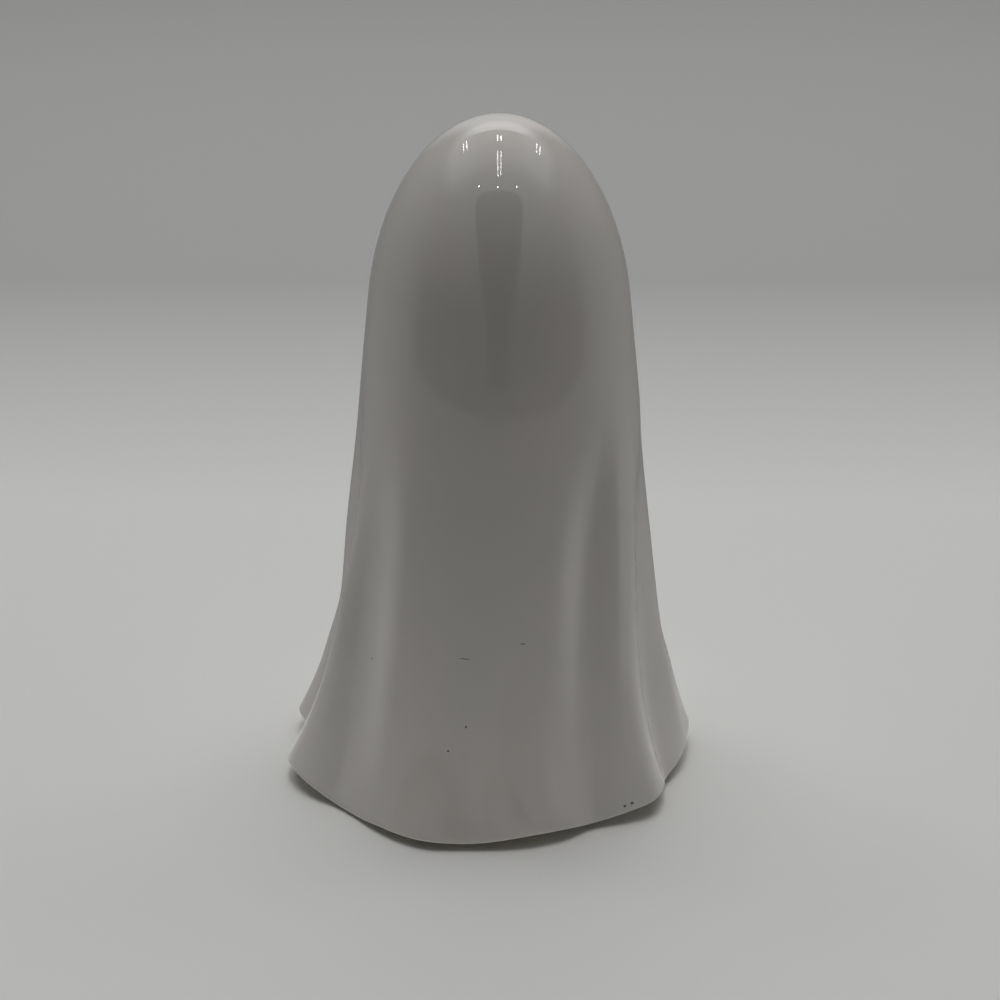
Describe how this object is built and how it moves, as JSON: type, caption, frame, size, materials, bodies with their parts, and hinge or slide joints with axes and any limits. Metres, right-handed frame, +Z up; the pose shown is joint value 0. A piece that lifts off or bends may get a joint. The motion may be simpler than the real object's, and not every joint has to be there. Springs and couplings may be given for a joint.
{
  "type": "ghost figurine",
  "caption": "Glossy white ceramic ghost figure shaped as a draped sheet, with a smooth domed head, deep folds that open into a lifted wavy hem, and a plain face in front.",
  "frame": {"origin": "middle of the bounding box at the level of the table the figure stands on", "axes": "+Z up; the face looks along -Y and the folded back seen in the picture is on the +Y side; the figure's own left is +X"},
  "size_m": [0.0928, 0.088, 0.15],
  "materials": {
    "white_glaze": "glossy transparent glaze over a white slip-cast body",
    "black_glaze": "glossy black glaze",
    "pad_rubber": "matte moulded rubber"
  },
  "bodies": {
    "root": {"ceramic_body": "white_glaze", "left_eye": "black_glaze", "right_eye": "black_glaze", "mouth": "black_glaze", "front_left_pad": "pad_rubber", "front_right_pad": "pad_rubber", "rear_left_pad": "pad_rubber", "rear_right_pad": "pad_rubber"}
  },
  "joints": []
}
